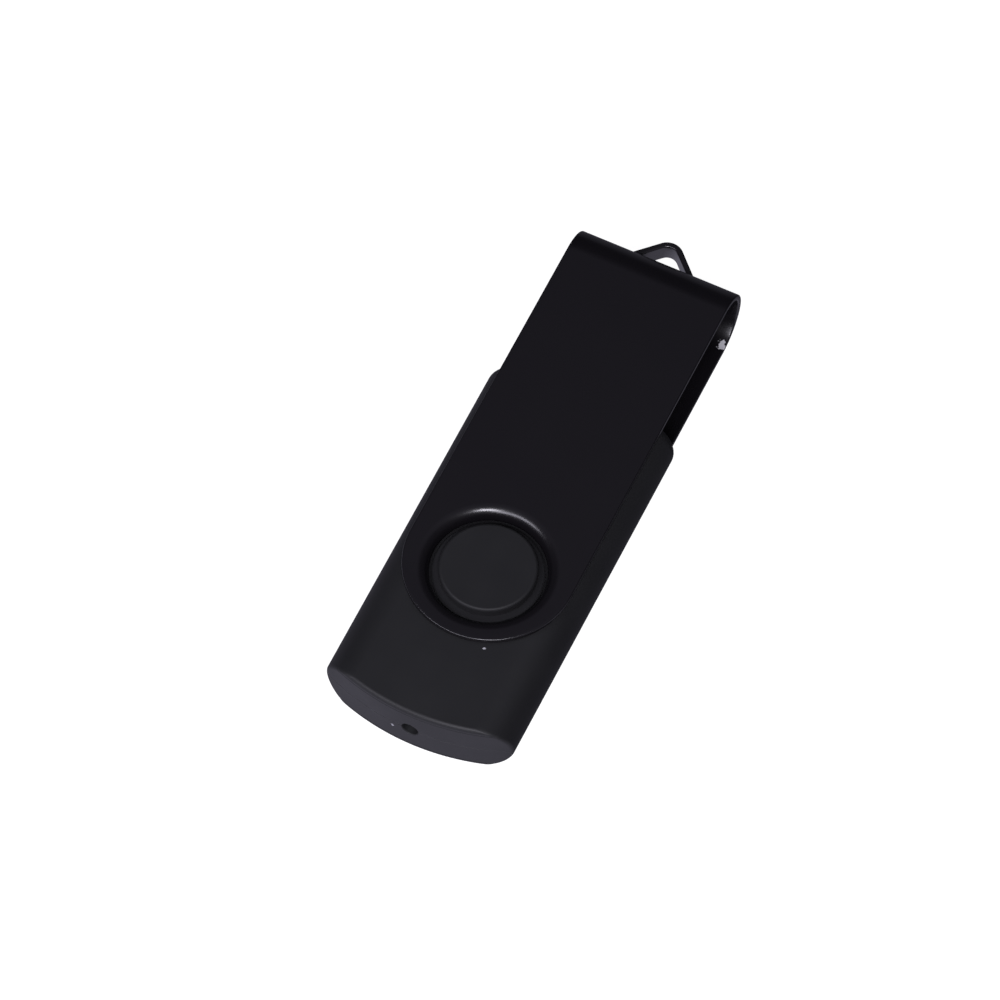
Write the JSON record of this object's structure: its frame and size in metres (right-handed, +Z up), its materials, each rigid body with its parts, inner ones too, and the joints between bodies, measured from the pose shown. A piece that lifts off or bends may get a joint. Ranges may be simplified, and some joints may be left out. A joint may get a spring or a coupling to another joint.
{
  "type": "usb flash drive",
  "caption": "Slim USB flash drive with a plastic case and a U-shaped sheet-metal cover that swivels about round bosses to guard or free the plug, with a key loop on its bend.",
  "frame": {"origin": "under the middle of the whole closed drive, on the flat face of the cover that it lies on", "axes": "+X from the case's rear end towards the key loop on the cover's bend, +Z up through both pivot bosses, +Y across the width"},
  "size_m": [0.0592, 0.0198, 0.0081],
  "materials": {
    "case_plastic": "fine matte moulded black with a slight rubbery sheen",
    "cover_paint": "satin black paint with the faintest violet cast",
    "plug_metal": "satin nickel plate",
    "insulator_plastic": "moulded black",
    "contact_metal": "thin gold plate",
    "board_laminate": "green solder mask",
    "chip_epoxy": "moulded epoxy",
    "can_metal": "satin",
    "led_resin": "clear resin",
    "capacitor_ceramic": "fired ceramic with tinned ends",
    "resistor_ceramic": "glazed, with tinned ends",
    "ferrite": "sintered",
    "solder": "bright tin"
  },
  "bodies": {
    "case": {"upper_shell": "case_plastic", "lower_shell": "case_plastic", "plug_shell": "plug_metal", "plug_insulator": "insulator_plastic", "contact_power": "contact_metal", "contact_data_minus": "contact_metal", "contact_data_plus": "contact_metal", "contact_ground": "contact_metal", "circuit_board": "board_laminate", "flash_memory_chip": "chip_epoxy", "controller_chip": "chip_epoxy", "voltage_regulator": "chip_epoxy", "crystal_can": "can_metal", "status_led": "led_resin", "input_capacitor": "capacitor_ceramic", "output_capacitor": "capacitor_ceramic", "flash_capacitor": "capacitor_ceramic", "core_capacitor": "capacitor_ceramic", "crystal_capacitor_left": "capacitor_ceramic", "crystal_capacitor_right": "capacitor_ceramic", "data_resistor_plus": "resistor_ceramic", "data_resistor_minus": "resistor_ceramic", "led_resistor": "resistor_ceramic", "pull_up_resistor": "resistor_ceramic", "ferrite_bead": "ferrite", "solder_power": "solder", "solder_data_minus": "solder", "solder_data_plus": "solder", "solder_ground": "solder", "solder_shell_left": "solder", "solder_shell_right": "solder"},
    "cover": {"swivel_cover": "cover_paint"}
  },
  "joints": [
    {"name": "cover_swivel", "type": "hinge", "parent": "case", "child": "cover", "pos_m": [-0.01248, 0, 0.00405], "axis": [0, 0, 1], "continuous": true}
  ]
}
